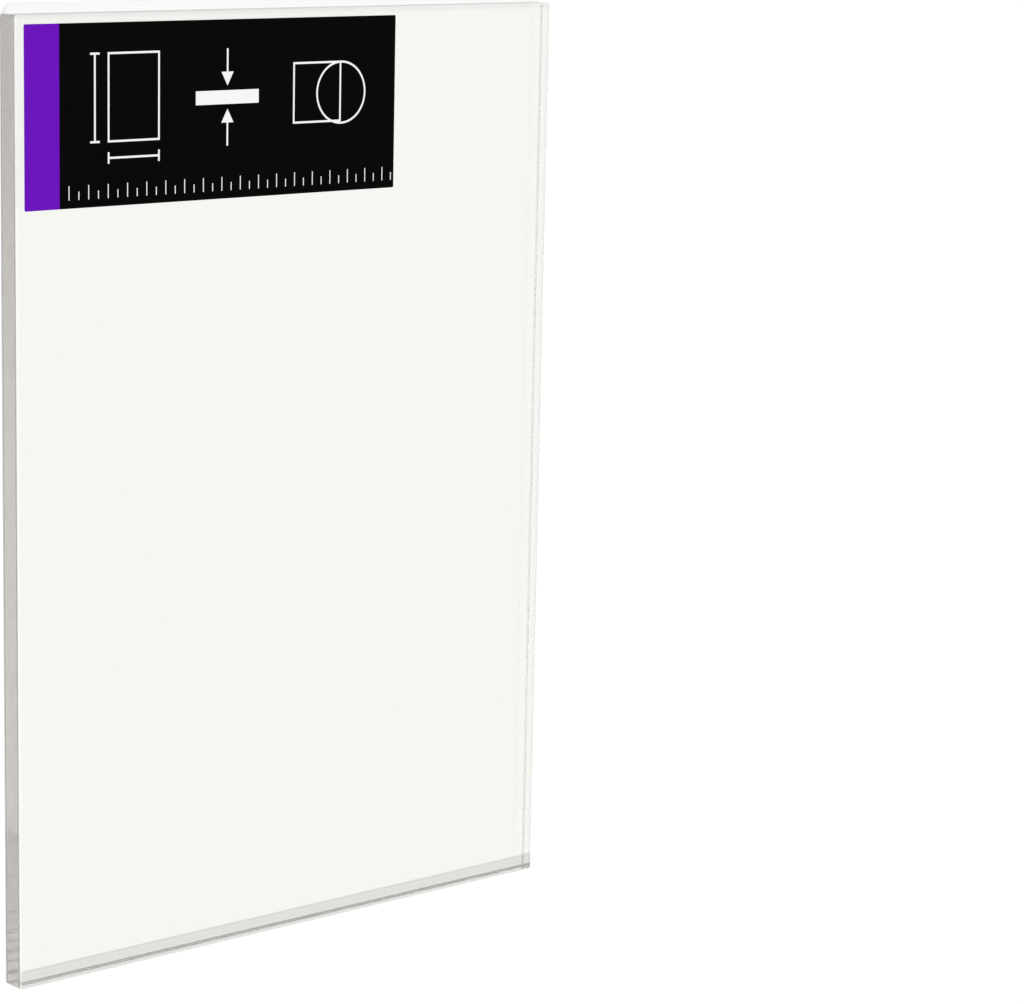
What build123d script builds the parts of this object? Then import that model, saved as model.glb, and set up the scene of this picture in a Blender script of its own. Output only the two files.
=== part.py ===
from build123d import *
import os

# A cut-to-size sheet of clear acrylic, lying flat with its product label on the upper face.
# X runs across the width, Y along the length and Z through the thickness.
# The origin is the middle of the underside. Sizes are in millimetres.

# The sheet: an A3 cut from 12 mm stock, its sawn edges scraped to take off the sharp corners
sheet_width = 297.0
sheet_length = 420.0
sheet_thickness = 12.0
edge_arris = 0.8

# The self-adhesive label, set in from the corner at -X, +Y
label_width = 199.0
label_height = 77.5
label_thickness = 0.12
label_left_margin = 4.1
label_top_margin = 3.8

label_centre_x = -sheet_width / 2 + label_left_margin + label_width / 2
label_centre_y = sheet_length / 2 - label_top_margin - label_height / 2

# One piece of stock: the plate, with every corner broken by the same small bevel
with BuildPart() as sheet:
    with BuildSketch(Plane.XY):
        Rectangle(sheet_width, sheet_length)
    extrude(amount=sheet_thickness)
    chamfer(sheet.edges(), length=edge_arris)

# The label lies face to face on the sheet
with BuildPart() as label:
    with BuildSketch(Plane.XY.offset(sheet_thickness)):
        with Locations((label_centre_x, label_centre_y)):
            Rectangle(label_width, label_height)
    extrude(amount=label_thickness)

sheet.part.label = "sheet"
label.part.label = "label"

os.makedirs("parts", exist_ok=True)
export_step(sheet.part, "parts/sheet.step")
export_step(label.part, "parts/label.step")
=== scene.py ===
# %% [markdown]
# # A clear acrylic sheet and its label
#
# The real object is one flat piece of stock: a clear acrylic sheet, sawn to size, with a printed
# label stuck near one corner. It was measured and drawn as solids before this lesson starts, so the
# first step loads those solids as a fixed frame. Nothing here moves or resizes them. Blender's job is
# the finish of every surface, the print on the label, the light and the camera.

# %% Load the measured sheet
import math

import bmesh
import bpy
from mathutils import Matrix, Vector


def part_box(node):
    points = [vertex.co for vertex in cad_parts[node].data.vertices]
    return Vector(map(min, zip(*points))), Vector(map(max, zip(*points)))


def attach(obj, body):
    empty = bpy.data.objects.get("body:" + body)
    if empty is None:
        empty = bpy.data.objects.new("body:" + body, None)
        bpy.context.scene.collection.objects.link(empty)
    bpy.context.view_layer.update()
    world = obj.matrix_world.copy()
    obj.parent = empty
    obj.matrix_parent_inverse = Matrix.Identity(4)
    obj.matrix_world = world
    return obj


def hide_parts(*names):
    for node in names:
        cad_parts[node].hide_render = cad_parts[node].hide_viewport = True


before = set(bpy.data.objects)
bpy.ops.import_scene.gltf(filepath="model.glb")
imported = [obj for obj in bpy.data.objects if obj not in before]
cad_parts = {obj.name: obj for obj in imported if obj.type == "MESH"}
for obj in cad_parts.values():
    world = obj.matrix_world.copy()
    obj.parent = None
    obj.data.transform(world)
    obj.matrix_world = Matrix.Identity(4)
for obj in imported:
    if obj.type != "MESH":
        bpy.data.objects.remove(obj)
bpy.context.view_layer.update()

MM = 0.001
sheet_low, sheet_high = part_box("sheet")
sheet_size = sheet_high - sheet_low
print("loaded nodes:", ", ".join(sorted(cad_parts)))
print("sheet in mm:", [round(side / MM, 2) for side in sheet_size])

# %% [markdown]
# ## Two helpers for shader nodes
#
# A procedural material is a tree of nodes. Written out in full, each node takes a line to make it,
# one for each setting and one for each wire. One helper that does all three keeps a material readable
# as a recipe. The second is for the node that comes up most, plain arithmetic. Others follow where
# they are first needed.

# %% Node helpers
def add_node(tree, kind, inputs=None, **settings):
    """Adds a node. inputs maps a socket's name or number to a value or to another node's output."""
    node = tree.nodes.new(kind)
    for name, value in settings.items():
        setattr(node, name, value)
    for key, value in (inputs or {}).items():
        if isinstance(value, bpy.types.NodeSocket):
            tree.links.new(value, node.inputs[key])
        else:
            node.inputs[key].default_value = value
    return node


def calc(tree, operation, *values):
    """One Math node, from its operation and its values or wires. Returns its output."""
    return add_node(tree, "ShaderNodeMath", dict(enumerate(values)), operation=operation).outputs[0]


print("helpers ready")

# %% [markdown]
# ## Where is a point on the sheet?
#
# The sheet is one solid with one material, but it has three finishes: the polished faces, the sawn
# edges, and the narrow bevel, called an arris, that was scraped along every corner. They could be
# given separate material slots. Here the material works the finish out from the point's own place:
# past the flat part of the face it is arris, and at the very outside it is a sawn edge. Two more
# masks tell the left edge and the bottom edge from the others, because those two show more marks.
# All of them stay right from every side, and they survive when the material is baked. The place along
# an edge is X plus Y: on each edge one of the two stays the same, so the sum runs along it.

# %% Masks for the arris and the sawn edges
arris = 0.8 * MM
mask_slack = 0.03 * MM


def edge_masks(tree):
    """The place along the edge and its height in mm, and masks: cut, sawn, left edge, bottom edge."""
    place = add_node(tree, "ShaderNodeTexCoord").outputs["Object"]
    raw = add_node(tree, "ShaderNodeSeparateXYZ", {0: place}).outputs
    past_x = calc(tree, "SUBTRACT", calc(tree, "ABSOLUTE", raw["X"]), sheet_size.x / 2 - arris)
    past_y = calc(tree, "SUBTRACT", calc(tree, "ABSOLUTE", raw["Y"]), sheet_size.y / 2 - arris)
    past_face = calc(tree, "MAXIMUM", past_x, past_y)
    cut = calc(tree, "GREATER_THAN", past_face, mask_slack)
    sawn = calc(tree, "GREATER_THAN", past_face, arris - mask_slack)
    along = calc(tree, "MULTIPLY", calc(tree, "ADD", raw["X"], raw["Y"]), 1 / MM)
    height = calc(tree, "MULTIPLY", raw["Z"], 1 / MM)
    left = calc(tree, "LESS_THAN", raw["X"], arris - sheet_size.x / 2)
    bottom = calc(tree, "LESS_THAN", raw["Y"], arris - sheet_size.y / 2)
    return along, height, cut, sawn, left, bottom


print("flat of the face in mm:", [round((side - 2 * arris) / MM, 1) for side in sheet_size.xy])

# %% [markdown]
# ## A ramp, a blend and a grain
#
# The marks on a sawn edge are built from three simple things. A ramp rises evenly from 0 to 1 and
# turns a distance into a soft mask. A blend mixes two values by such a mask. A grain is a noise
# pattern with a chosen width and height, for all that is irregular.

# %% Ramp, blend and grain
noise_roughness = 0.55


def ramp(tree, value, start, end):
    """0 up to start, 1 from end on, and an even slope between."""
    inputs = {"Value": value, "From Min": start, "From Max": end}
    return add_node(tree, "ShaderNodeMapRange", inputs).outputs[0]


def blend_value(tree, factor, low, high):
    """low where factor is 0, high where it is 1."""
    return add_node(tree, "ShaderNodeMix", {0: factor, 2: low, 3: high}, data_type="FLOAT").outputs[0]


def point(tree, x, y, z=0.0):
    """Three values as one place."""
    return add_node(tree, "ShaderNodeCombineXYZ", {0: x, 1: y, 2: z}).outputs[0]


def grain(tree, x, y, wide, tall, detail, layer=0.0):
    """A noise value, about 0.5 on average, with grains this wide and tall. A layer is a new pattern."""
    across = calc(tree, "MULTIPLY", x, 1 / wide)
    up = calc(tree, "MULTIPLY", y, 1 / tall)
    inputs = {
        "Vector": point(tree, across, up, layer),
        "Scale": 1.0,
        "Detail": detail,
        "Roughness": noise_roughness,
    }
    return add_node(tree, "ShaderNodeTexNoise", inputs).outputs["Fac"]


print("noise roughness:", noise_roughness)

# %% [markdown]
# ## The marks of the saw
#
# A saw leaves a frosted edge. Its fine streaks run the way the sheet was fed, along the edge, and
# softer clouds lie over them. One noise pattern stretched along the edge makes the streaks, and a
# rounder one makes the clouds. Close to its two arrises an edge is a little paler. The left edge also
# has a narrow dark line there, and it is darker towards its top end. The other edges have no such
# lines, but are worn a little duller towards the upper arris. The lines and the wear are ramps on the
# height, and the slow change is a ramp along the edge. Sizes and places in this cell are millimetres,
# and shares run from 0 to 1.

# %% Tone of the sawn edge
# Streaks and clouds
streak_length = 14.0
streak_width = 0.55
streak_share = 0.55
cloud_length = 5.0
cloud_width = 2.2
cloud_share = 0.45
cloud_layer = 7.0
mark_detail = 3.0

# What changes with the height: distances from the arris, and the height where the wear starts
middle_height = sheet_size.z / 2 / MM
dark_line = 1.3
dark_line_fade = 0.5
pale_line = 2.4
pale_share = 0.18
worn_start = 6.5
worn_share = 0.35

# The slow change along the left edge
darkening_start = -130.0
darkening_end = 45.0
end_darker = 0.50


def saw_marks(tree, along, height, left):
    """The streaks, the edge's tone, which is about 0.5 on average, and the mask of its dull parts."""
    streaks = grain(tree, along, height, streak_length, streak_width, mark_detail)
    clouds = grain(tree, along, height, cloud_length, cloud_width, mark_detail, cloud_layer)
    streak_part = calc(tree, "MULTIPLY", streaks, streak_share)
    cloud_part = calc(tree, "MULTIPLY", clouds, cloud_share)
    mottled = calc(tree, "ADD", streak_part, cloud_part)
    from_middle = calc(tree, "ABSOLUTE", calc(tree, "SUBTRACT", height, middle_height))
    from_arris = calc(tree, "SUBTRACT", middle_height - arris / MM, from_middle)
    past_line = ramp(tree, from_arris, dark_line - dark_line_fade, dark_line)
    dark_lines = calc(tree, "SUBTRACT", 1.0, past_line)
    worn = calc(tree, "MULTIPLY", ramp(tree, height, worn_start, sheet_size.z / MM), worn_share)
    dull = blend_value(tree, left, worn, dark_lines)
    pale_rim = calc(tree, "SUBTRACT", 1.0, ramp(tree, from_arris, dark_line, pale_line))
    tone = calc(tree, "ADD", mottled, calc(tree, "MULTIPLY", pale_rim, pale_share))
    top_end_darkening = calc(tree, "MULTIPLY", ramp(tree, along, darkening_start, darkening_end), left)
    tone = calc(tree, "SUBTRACT", tone, calc(tree, "MULTIPLY", top_end_darkening, end_darker))
    return streaks, tone, dull


print("sawn face is", round(2 * (middle_height - arris / MM), 2), "mm high")

# %% [markdown]
# ## The surface of the acrylic
#
# Acrylic bends light a little less than window glass does: its index of refraction is 1.49. The
# faces come from the casting mould as smooth as glass, so light passes with almost no scatter.
# A sawn edge lets light in as well, but it spreads the light, so most of it runs on inside the sheet
# as in a light guide. The arris was scraped and not sawn, and its fine scratches look white. The lower
# arris of the bottom edge is painted grey: painted shade, which darkens the line it draws along the
# bottom. One shader serves all the finishes: the masks choose its colour, roughness and clearness.

# %% Surface of the acrylic
acrylic_ior = 1.49
face_tint = (0.971, 0.961, 0.934, 1)
arris_colour = (0.98, 0.98, 0.97, 1)
# Painted shade: the grey that darkens the lower arris of the bottom edge
bottom_arris_shade_colour = (0.69, 0.68, 0.66, 1)
sawn_dark = (0.44, 0.43, 0.41, 1)
sawn_light = (0.965, 0.95, 0.935, 1)
dull_colour = (0.45, 0.44, 0.42, 1)
sawn_clearness = 1.0
sawn_smooth = 0.05
sawn_coarse = 0.22
dull_clearness = 0.5
arris_clearness = 0.6
arris_roughness = 0.2
saw_bump = 0.35
saw_depth = 0.05 * MM


def blend_colour(tree, factor, low, high):
    """The same as blend_value, for two colours."""
    return add_node(tree, "ShaderNodeMix", {0: factor, 6: low, 7: high}, data_type="RGBA").outputs[2]


def acrylic_surface(tree, height, cut, sawn, bottom, streaks, tone, dull):
    """The shader that the camera sees: faces, arrises and sawn edges."""
    lower = calc(tree, "LESS_THAN", height, middle_height)
    # Painted shade: the lower arris of the bottom edge is turned grey
    painted_arris_shade = calc(tree, "MULTIPLY", lower, bottom)
    sawn_colour = blend_colour(tree, tone, sawn_dark, sawn_light)
    sawn_colour = blend_colour(tree, dull, sawn_colour, dull_colour)
    arris_and_shade_colour = blend_colour(tree, painted_arris_shade, arris_colour, bottom_arris_shade_colour)
    cut_colour = blend_colour(tree, sawn, arris_and_shade_colour, sawn_colour)
    colour = blend_colour(tree, cut, face_tint, cut_colour)
    sawn_rough = blend_value(tree, streaks, sawn_smooth, sawn_coarse)
    cut_rough = blend_value(tree, sawn, arris_roughness, sawn_rough)
    roughness = blend_value(tree, cut, 0.0, cut_rough)
    sawn_clear = blend_value(tree, dull, sawn_clearness, dull_clearness)
    cut_clear = blend_value(tree, sawn, arris_clearness, sawn_clear)
    clearness = blend_value(tree, cut, 1.0, cut_clear)
    relief = calc(tree, "MULTIPLY", streaks, sawn)
    bump = add_node(tree, "ShaderNodeBump", {"Strength": saw_bump, "Distance": saw_depth, "Height": relief})
    return add_node(tree, "ShaderNodeBsdfPrincipled", {
        "Base Color": colour,
        "Roughness": roughness,
        "IOR": acrylic_ior,
        "Transmission Weight": clearness,
        "Normal": bump.outputs[0],
    })


print("clearness of a sawn edge and of an arris:", sawn_clearness, arris_clearness)

# %% [markdown]
# ## The lamps' way through the sheet
#
# The lamps also have to reach the floor under the sheet. Bent light could be traced all the way, but
# that is slow and stays grainy. Here a ray that looks for a lamp meets a plain see-through surface
# instead, which lets a share of the light by. Nearly all passes a face. Light that falls on a sawn
# edge from outside is mostly scattered, so only a quarter goes in, while light that comes out by one
# keeps most of its strength. Such a ray runs from the floor towards the lamp, so the light goes in
# where the ray comes out, which Backfacing tells. An arris lets as much by as comes out of a sawn
# edge, but the two along the bottom edge let nothing by. The shadows are then crisp and free of
# grain: a pale grey band with a thin darker rim inside the bottom edge, and a narrower one inside the
# top edge.

# %% Shares of a lamp's light
lamp_through_face = (0.95, 0.95, 0.94, 1)
lamp_out_of_sawn = (0.70, 0.70, 0.69, 1)
lamp_into_sawn = (0.25, 0.25, 0.24, 1)
lamp_through_arris = lamp_out_of_sawn
lamp_at_bottom_arris = (0.0, 0.0, 0.0, 1)


def lamp_way(tree, cut, sawn, bottom):
    """The see-through shader that a ray towards a lamp meets."""
    goes_in = add_node(tree, "ShaderNodeNewGeometry").outputs["Backfacing"]
    lamp_sawn = blend_colour(tree, goes_in, lamp_out_of_sawn, lamp_into_sawn)
    lamp_arris = blend_colour(tree, bottom, lamp_through_arris, lamp_at_bottom_arris)
    lamp_cut = blend_colour(tree, sawn, lamp_arris, lamp_sawn)
    lamp_colour = blend_colour(tree, cut, lamp_through_face, lamp_cut)
    return add_node(tree, "ShaderNodeBsdfTransparent", {"Color": lamp_colour})


print("share that passes a face:", lamp_through_face[0], "and that enters an edge:", lamp_into_sawn[0])

# %% [markdown]
# ## The clear acrylic as a whole
#
# An edge looks darker than a face because its light has crossed far more plastic. Volume absorption
# gives just that, where a darker surface colour would darken the thin parts too. The Light Path node
# picks the surface for what is seen, and the plain see-through one for a ray that looks for a lamp.

# %% Clear acrylic
body_tint = (0.93, 0.92, 0.90, 1)
body_density = 6.0


def new_material(name):
    """An empty material. Returns it and its node tree."""
    material = bpy.data.materials.new(name)
    material.use_nodes = True
    material.node_tree.nodes.clear()
    return material, material.node_tree


def make_clear_acrylic():
    material, tree = new_material("clear_acrylic")
    along, height, cut, sawn, left, bottom = edge_masks(tree)
    streaks, tone, dull = saw_marks(tree, along, height, left)
    surface = acrylic_surface(tree, height, cut, sawn, bottom, streaks, tone, dull)
    body = add_node(tree, "ShaderNodeVolumeAbsorption", {"Color": body_tint, "Density": body_density})
    see_through = lamp_way(tree, cut, sawn, bottom)
    to_lamp = add_node(tree, "ShaderNodeLightPath").outputs["Is Shadow Ray"]
    shown = add_node(tree, "ShaderNodeMixShader", {
        0: to_lamp, 1: surface.outputs[0], 2: see_through.outputs[0],
    })
    add_node(tree, "ShaderNodeOutputMaterial", {"Surface": shown.outputs[0], "Volume": body.outputs[0]})
    return material


clear_acrylic = make_clear_acrylic()
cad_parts["sheet"].data.materials.clear()
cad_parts["sheet"].data.materials.append(clear_acrylic)
print("sheet finish:", clear_acrylic.name, "with", len(clear_acrylic.node_tree.nodes), "nodes")

# %% [markdown]
# ## From a modelled shape to an object
#
# The label and the floor are modelled with bmesh, which works on loose corners, edges and faces. A
# scene shows only objects, so a finished shape is turned into a mesh, and the mesh is given an object.
# The lamps and the camera need the second half of that too, so it is a helper of its own.

# %% Object helpers
def add_object(name, data):
    """Puts a mesh, a lamp or a camera in the scene. Returns its object."""
    thing = bpy.data.objects.new(name, data)
    bpy.context.scene.collection.objects.link(thing)
    return thing


def add_shape(name, shape):
    """Turns a modelled shape into a mesh and puts it in the scene. Returns its object."""
    mesh = bpy.data.meshes.new(name)
    shape.to_mesh(mesh)
    shape.free()
    return add_object(name, mesh)


print("object helpers ready")

# %% [markdown]
# ## The label
#
# The real label is a printed vinyl film, about a tenth of a millimetre thick, pressed flat on the
# face. A cube is the right start for a shape like this. Its four upright corners are rounded a
# little, as a cutter leaves them, and its top rim is softened so that it catches the light. A
# hair of air stays under the film. Without it, the light that runs inside the sheet would end in the
# adhesive, and the edge beside the label would turn dark. The film casts no shadow: one would
# fall under the clear margins beside the label, which have to stay bright.

# %% Label film
label_low, label_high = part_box("label")
film_air = 0.01 * MM
label_corner = 0.6 * MM
corner_steps = 4
label_rim = 0.03 * MM
rim_steps = 2
level_slack = label_rim / 10


def round_off(shape, edges, width, steps):
    """Rounds edges of a shape."""
    bmesh.ops.bevel(
        shape, geom=edges, offset=width, offset_type="OFFSET",
        affect="EDGES", segments=steps, profile=0.5, material=-1,
    )


def make_label():
    low = Vector((label_low.x, label_low.y, label_low.z + film_air))
    size = label_high - low
    shape = bmesh.new()
    bmesh.ops.create_cube(shape, size=1.0)
    bmesh.ops.scale(shape, vec=size, verts=shape.verts)
    bmesh.ops.translate(shape, vec=low + size / 2, verts=shape.verts)
    upright = [e for e in shape.edges if abs(e.verts[0].co.z - e.verts[1].co.z) > size.z / 2]
    round_off(shape, upright, label_corner, corner_steps)
    top = [e for e in shape.edges if all(abs(v.co.z - label_high.z) < level_slack for v in e.verts)]
    round_off(shape, top, label_rim, rim_steps)
    return add_shape("label_film", shape)


label_film = make_label()
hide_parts("label")
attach(label_film, "root")
label_film.visible_shadow = False
print("label film:", len(label_film.data.polygons), "faces,", label_film.dimensions[:])

# %% [markdown]
# ## The print on the label: the size sign
#
# The print is flat ink, so it is drawn in the material and not as geometry. An image would do too, but
# small tests need no file and stay sharp from near by. Every mark is worked out from the point's place
# in millimetres from the label's lower left corner: a test gives 1 inside a mark and 0 outside. The
# first sign is a sheet with a line for its height and one for its width. The lines are thin but not
# too thin: one that is finer than a pixel of the picture flickers.

# %% Size sign
line_width = 0.9
size_x = (42, 69)
size_y = (27, 65)
height_line = 35
width_line = 20
tick_reach = 2


def inside(tree, value, low, high):
    """1 where low < value < high."""
    above = calc(tree, "GREATER_THAN", value, low)
    below = calc(tree, "LESS_THAN", value, high)
    return calc(tree, "MULTIPLY", above, below)


def box(tree, spot, x_range, y_range):
    """1 inside a rectangle."""
    x, y = spot
    return calc(tree, "MULTIPLY", inside(tree, x, *x_range), inside(tree, y, *y_range))


def frame_line(tree, spot, x_range, y_range, width):
    """1 on a line of this width, just inside the sides of a rectangle."""
    x_inner = (x_range[0] + width, x_range[1] - width)
    y_inner = (y_range[0] + width, y_range[1] - width)
    return calc(tree, "SUBTRACT", box(tree, spot, x_range, y_range), box(tree, spot, x_inner, y_inner))


def size_sign(tree, spot):
    """A sheet, with a line for its height and one for its width. Each has a tick at both ends."""
    left, right = size_x
    foot, top = size_y
    height_x = (height_line, height_line + line_width)
    height_tick = (height_line - tick_reach, height_line + tick_reach + line_width)
    width_y = (width_line, width_line + line_width)
    width_tick = (width_line - tick_reach, width_line + tick_reach + line_width)
    return [
        frame_line(tree, spot, size_x, size_y, line_width),
        box(tree, spot, height_x, size_y),
        box(tree, spot, height_tick, (foot, foot + line_width)),
        box(tree, spot, height_tick, (top - line_width, top)),
        box(tree, spot, size_x, width_y),
        box(tree, spot, (left, left + line_width), width_tick),
        box(tree, spot, (right - line_width, right), width_tick),
    ]


print("size sign, from and to in mm:", size_x, size_y)

# %% [markdown]
# ## The thickness sign
#
# A sheet seen from its edge, between two arrows, stands for the thickness. An arrow is a thin box with
# a head, and the head is where the distance from the arrow's middle line is less than a share of the
# distance from its tip. One test serves both arrows: a negative length turns the head over.

# %% Thickness sign
edge_x = (88, 122)
edge_y = (41, 47)
arrow_x = 105.0
arrow_length = 6.0
arrow_slope = 0.55
upper_arrow = 49
upper_shaft = (54, 65)
lower_arrow = 39
lower_shaft = (23, 34)


def arrow_tip(tree, spot, tip, length):
    """1 in a solid arrow head that points up for a positive length, and down for a negative one."""
    across = calc(tree, "ABSOLUTE", calc(tree, "SUBTRACT", spot[0], tip[0]))
    below = calc(tree, "MULTIPLY", calc(tree, "SUBTRACT", tip[1], spot[1]), math.copysign(1.0, length))
    slope = calc(tree, "LESS_THAN", across, calc(tree, "MULTIPLY", below, arrow_slope))
    return calc(tree, "MULTIPLY", slope, inside(tree, below, 0.0, abs(length)))


def thickness_sign(tree, spot):
    """A sheet seen from its edge, between two arrows."""
    shaft_x = (arrow_x - line_width / 2, arrow_x + line_width / 2)
    return [
        box(tree, spot, edge_x, edge_y),
        box(tree, spot, shaft_x, upper_shaft),
        arrow_tip(tree, spot, (arrow_x, upper_arrow), -arrow_length),
        box(tree, spot, shaft_x, lower_shaft),
        arrow_tip(tree, spot, (arrow_x, lower_arrow), arrow_length),
    ]


print("arrow tips at a height of", lower_arrow, "and", upper_arrow, "mm")

# %% [markdown]
# ## The sign for clear
#
# The label also has to say that the plastic is clear. A circle that shows through a square says so
# without a word. A ring is where the distance from its centre lies between two radii.

# %% Sign for clear
square_x = (141, 168)
square_y = (31, 58)
ring_centre = (168, 44)
ring_radius = 14.0


def ring(tree, spot, centre, radius, width):
    """1 on a circle's line."""
    across = calc(tree, "SUBTRACT", spot[0], centre[0])
    up = calc(tree, "SUBTRACT", spot[1], centre[1])
    squares = calc(tree, "ADD", calc(tree, "MULTIPLY", across, across), calc(tree, "MULTIPLY", up, up))
    out = calc(tree, "SQRT", squares)
    return inside(tree, out, radius - width, radius)


def clear_sign(tree, spot):
    """A circle that shows through a square: the sheet is clear."""
    return [
        frame_line(tree, spot, square_x, square_y, line_width),
        ring(tree, spot, ring_centre, ring_radius, line_width),
    ]


print("ring:", 2 * ring_radius, "mm across")

# %% [markdown]
# ## The band and the ruler
#
# A coloured band fills one end of the label, and a plain ruler runs along its lower rim. Each mark of
# the ruler could be a box, but the marks stand at equal steps, so the remainder of a division finds
# them: one test draws all the short marks and one all the long ones.

# %% Band and ruler
band_width = 17.5
ruler_gap = 4.5
ruler_start = band_width + ruler_gap
ruler_step = 5.0
ruler_line = 0.45
ruler_foot = 3.5
short_top = 7.0
long_top = 9.5


def ruler(tree, spot):
    """A short mark each 5 mm and a longer one each 10 mm."""
    from_start = calc(tree, "SUBTRACT", spot[0], ruler_start)
    short = calc(tree, "LESS_THAN", calc(tree, "MODULO", from_start, ruler_step), ruler_line)
    long = calc(tree, "LESS_THAN", calc(tree, "MODULO", from_start, 2 * ruler_step), ruler_line)
    short_marks = calc(tree, "MULTIPLY", short, inside(tree, spot[1], ruler_foot, short_top))
    long_marks = calc(tree, "MULTIPLY", long, inside(tree, spot[1], ruler_foot, long_top))
    marks = calc(tree, "MAXIMUM", short_marks, long_marks)
    return [calc(tree, "MULTIPLY", marks, calc(tree, "GREATER_THAN", from_start, 0.0))]


print("ruler: from", ruler_start, "mm on, a mark each", ruler_step, "mm")

# %% [markdown]
# ## Ink and vinyl
#
# The label is black vinyl with a purple band at one end and a satin skin. The black hardly changes,
# but the roughness does: a film like this has a fine pebbled skin, which breaks up any highlight. Its
# index of refraction is low, so it mirrors little of the white room and the black stays deep.
# Underneath it is the pale grey of the adhesive, which shows through the sheet from below. The sizes
# of the pebbles and of the faint patches are millimetres.

# %% Printed label material
# Inks and adhesive
ink_black = (0.0016, 0.0016, 0.0018, 1)
ink_black_worn = (0.0030, 0.0030, 0.0032, 1)
ink_band = (0.147, 0.0082, 0.495, 1)
ink_white = (0.92, 0.92, 0.92, 1)
adhesive_pale = (0.66, 0.66, 0.64, 1)
adhesive_deep = (0.56, 0.56, 0.55, 1)

# The skin and its patches
pebble = 0.35
pebble_detail = 2.0
patch = 25.0
patch_detail = 3.0
patch_layer = 3.0
skin_smooth = 0.38
skin_coarse = 0.60
skin_bump = 0.2
skin_depth = 0.01 * MM
vinyl_ior = 1.05


def any_of(tree, masks):
    """1 where any of the masks is."""
    total = masks[0]
    for mask in masks[1:]:
        total = calc(tree, "MAXIMUM", total, mask)
    return total


def make_printed_label():
    material, tree = new_material("printed_label")
    place = add_node(tree, "ShaderNodeTexCoord").outputs["Object"]
    axes = add_node(tree, "ShaderNodeSeparateXYZ", {0: place}).outputs
    x = calc(tree, "MULTIPLY", calc(tree, "SUBTRACT", axes["X"], label_low.x), 1 / MM)
    y = calc(tree, "MULTIPLY", calc(tree, "SUBTRACT", axes["Y"], label_low.y), 1 / MM)
    spot = (x, y)
    skin = grain(tree, x, y, pebble, pebble, pebble_detail)
    haze = grain(tree, x, y, patch, patch, patch_detail, patch_layer)

    signs = size_sign(tree, spot) + thickness_sign(tree, spot) + clear_sign(tree, spot)
    white = any_of(tree, signs + ruler(tree, spot))
    band = calc(tree, "LESS_THAN", x, band_width)
    ink = blend_colour(tree, haze, ink_black, ink_black_worn)
    printed = blend_colour(tree, band, ink, ink_band)
    printed = blend_colour(tree, white, printed, ink_white)
    adhesive = blend_colour(tree, haze, adhesive_deep, adhesive_pale)
    back = calc(tree, "LESS_THAN", axes["Z"], label_low.z + 2 * film_air)
    colour = blend_colour(tree, back, printed, adhesive)
    roughness = blend_value(tree, skin, skin_smooth, skin_coarse)
    bump = add_node(tree, "ShaderNodeBump", {"Strength": skin_bump, "Distance": skin_depth, "Height": skin})
    shader = add_node(tree, "ShaderNodeBsdfPrincipled", {
        "Base Color": colour,
        "Roughness": roughness,
        "IOR": vinyl_ior,
        "Normal": bump.outputs[0],
    })
    add_node(tree, "ShaderNodeOutputMaterial", {"Surface": shader.outputs[0]})
    return material


printed_label = make_printed_label()
label_film.data.materials.append(printed_label)
print("label print:", printed_label.name, "with", len(printed_label.node_tree.nodes), "nodes")

# %% [markdown]
# ## Which rays see the white?
#
# A product photograph has a pure white background that doesn't wash out the object. In Blender one
# surface can look one way to the camera and another way to all other light, because the Light Path
# node tells what kind of ray has arrived. This mask is 1 for a ray that left the camera and was only
# bent or mirrored on its way. The floor and the room both use it.

# %% Mask for the rays that see the white
under_one_bounce = 0.5


def seen_directly(tree):
    """1 for a ray that left the camera and was only bent or mirrored on its way, and 0 for the rest."""
    rays = add_node(tree, "ShaderNodeLightPath").outputs
    straight = any_of(tree, [rays["Is Camera Ray"], rays["Is Glossy Ray"], rays["Is Transmission Ray"]])
    never_scattered = calc(tree, "LESS_THAN", rays["Diffuse Depth"], under_one_bounce)
    return calc(tree, "MULTIPLY", straight, never_scattered)


print("matt bounces of a ray that sees the white: fewer than", under_one_bounce)

# %% [markdown]
# ## The floor
#
# Clear plastic shows what lies behind it, so the floor matters as much as the sheet does. It is
# plain white. Seen by the camera, in a reflection or through the sheet, about half of its white is a
# steady glow and the rest is lit, so the background is white and the sheet's shadow stays. For all
# other rays it is an ordinary white floor. From below, the floor lets the camera through, so that the
# underside can be looked at. A hair of air is left under the sheet, as there is under a real one.

# %% Floor
floor_gap = 0.3 * MM
floor_size = 8.0
floor_lit = 0.85
floor_lit_when_seen = 0.47
floor_glow = 0.584


def make_floor():
    shape = bmesh.new()
    bmesh.ops.create_grid(shape, x_segments=1, y_segments=1, size=floor_size / 2)
    bmesh.ops.translate(shape, vec=(0, 0, sheet_low.z - floor_gap), verts=shape.verts)
    floor = add_shape("floor", shape)

    material, tree = new_material("white_floor")
    seen = seen_directly(tree)
    shade = blend_value(tree, seen, floor_lit, floor_lit_when_seen)
    lit = add_node(tree, "ShaderNodeBsdfDiffuse", {"Color": point(tree, shade, shade, shade)})
    glow = add_node(tree, "ShaderNodeEmission", {"Strength": calc(tree, "MULTIPLY", seen, floor_glow)})
    upper = add_node(tree, "ShaderNodeAddShader", {0: lit.outputs[0], 1: glow.outputs[0]})
    clear = add_node(tree, "ShaderNodeBsdfTransparent")
    from_below = add_node(tree, "ShaderNodeNewGeometry").outputs["Backfacing"]
    both = add_node(tree, "ShaderNodeMixShader", {0: from_below, 1: upper.outputs[0], 2: clear.outputs[0]})
    add_node(tree, "ShaderNodeOutputMaterial", {"Surface": both.outputs[0]})
    floor.data.materials.append(material)
    return floor


floor = make_floor()
print("floor:", floor.name, floor_size, "m square")

# %% [markdown]
# ## The room
#
# What stands round the sheet is mirrored in its faces and seen through its edges, so the room is plain
# white. That white is for rays that left the camera. As a light, the room gives only a little, evenly
# from all sides, so that no shadow is quite dark.

# %% Room
room_light = 0.11
room_seen = 1.0


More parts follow.
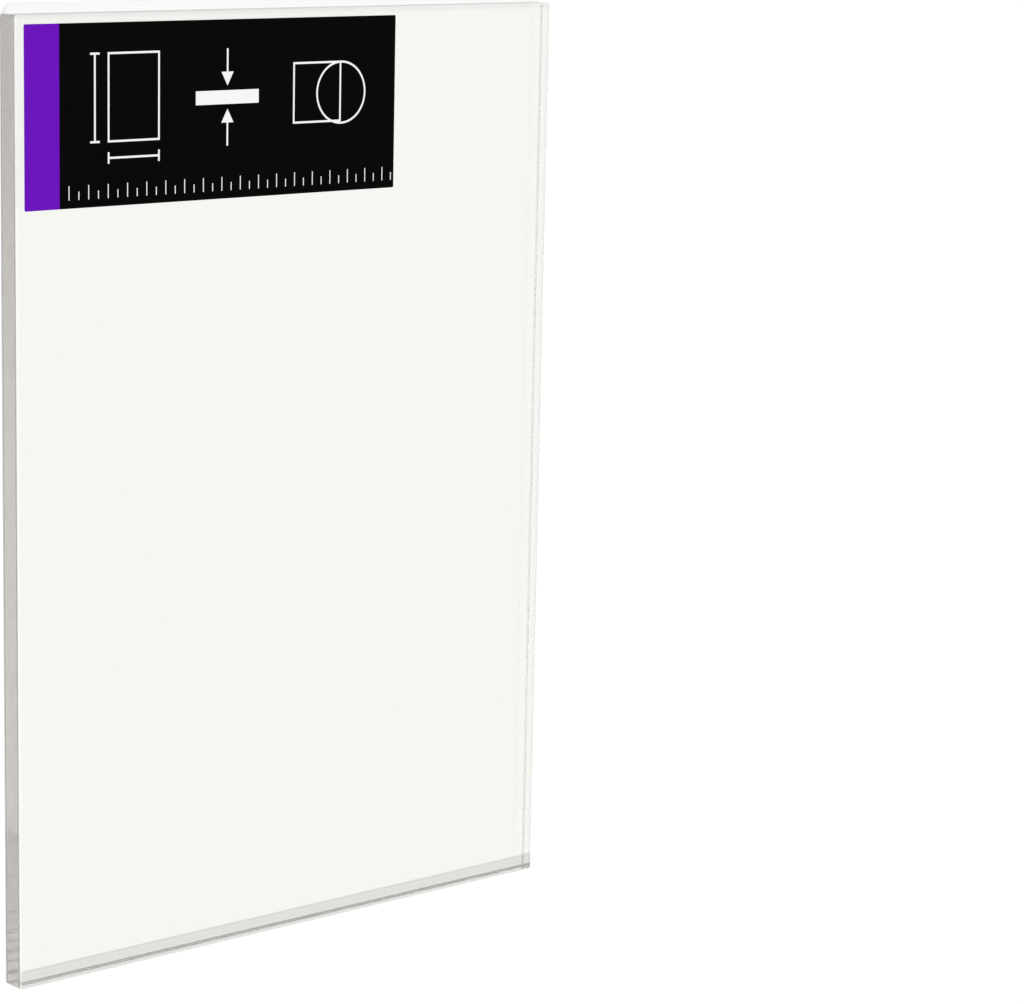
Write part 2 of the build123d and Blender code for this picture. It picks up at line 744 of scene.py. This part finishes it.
def make_room():
    world = bpy.data.worlds.new("studio")
    world.use_nodes = True
    tree = world.node_tree
    tree.nodes.clear()
    strength = blend_value(tree, seen_directly(tree), room_light, room_seen)
    background = add_node(tree, "ShaderNodeBackground", {"Color": (1, 1, 1, 1), "Strength": strength})
    add_node(tree, "ShaderNodeOutputWorld", {"Surface": background.outputs[0]})
    bpy.context.scene.world = world


make_room()
print("room light:", room_light)

# %% [markdown]
# ## The lamps
#
# Two lamps do most of the lighting. A sun lamp is enough for both, because only its direction and
# its spread count. The key lamp is small, and it comes from the side of the bottom edge, so that the
# shadow of that edge falls inwards and is seen through the face. The fill lamp is weaker, broader and
# steeper. It comes from the other end, so that the top edge has a narrow, soft shadow inside it too.
# Multiple importance sampling is off for both: a share of their light would otherwise be left to rays
# that bend in the sheet, which are not followed to a lamp here.

# %% Lamps
key_side = Vector((-0.30, -0.39, 1.0)).normalized()
key_strength = 2.12
key_spread = math.radians(1.5)
fill_side = Vector((-0.35, 0.20, 1.0)).normalized()
fill_strength = 0.98
fill_spread = math.radians(6)


def make_lamp(name, side, strength, spread):
    data = bpy.data.lights.new(name, "SUN")
    data.energy = strength
    data.angle = spread
    data.cycles.use_multiple_importance_sampling = False
    lamp = add_object(name, data)
    lamp.rotation_euler = side.to_track_quat("Z", "Y").to_euler()


make_lamp("key_lamp", key_side, key_strength, key_spread)
make_lamp("fill_lamp", fill_side, fill_strength, fill_spread)
print("lamps:", [lamp.name for lamp in bpy.data.lights])

# %% [markdown]
# ## The camera
#
# The camera's place was worked out from the corners of the sheet in the photograph: with the real
# width and length known, one viewpoint fits them best. It stands beyond the sheet's left side and
# looks down across it, with the top of the sheet upwards in the picture, so it is turned until the
# sheet's length is upright and then by about one degree more.

# %% Camera
upright_in_picture = Vector((0, 1, 0))
camera_place = Vector((-0.9589, 0.2909, 1.2350))
camera_target = Vector((0.1309, -0.0253, 0.012))
camera_roll = math.radians(1.22)
camera_lens = 123.2
camera_sensor = 36.0
camera_near = 0.05
camera_far = 30.0


def make_camera():
    data = bpy.data.cameras.new("camera")
    data.lens = camera_lens
    data.sensor_width = camera_sensor
    data.clip_start = camera_near
    data.clip_end = camera_far
    camera = add_object("camera", data)
    back = (camera_place - camera_target).normalized()
    right = upright_in_picture.cross(back).normalized()
    up = back.cross(right)
    turn = Matrix((right, up, back)).transposed() @ Matrix.Rotation(camera_roll, 3, "Z")
    camera.matrix_world = Matrix.Translation(camera_place) @ turn.to_4x4()
    bpy.context.scene.camera = camera
    return camera


camera = make_camera()
bpy.context.view_layer.update()
print("camera:", [round(v, 3) for v in camera.location])

# %% [markdown]
# ## Colour and light paths
#
# The Standard view shows a colour as it was written. Light that runs on inside the sheet bounces many
# times before it leaves, so more bounces are allowed than for an opaque thing. Caustics are
# off, because the acrylic's see-through surface already brings the lamps' light to the floor.

# %% Colour and light paths
clear_bounces = 28
matt_bounces = 4
scene = bpy.context.scene
scene.view_settings.view_transform = "Standard"
scene.cycles.max_bounces = clear_bounces
scene.cycles.transmission_bounces = clear_bounces
scene.cycles.glossy_bounces = clear_bounces
scene.cycles.diffuse_bounces = matt_bounces
scene.cycles.caustics_refractive = False
scene.cycles.caustics_reflective = False
print("light paths: up to", scene.cycles.max_bounces, "bounces")
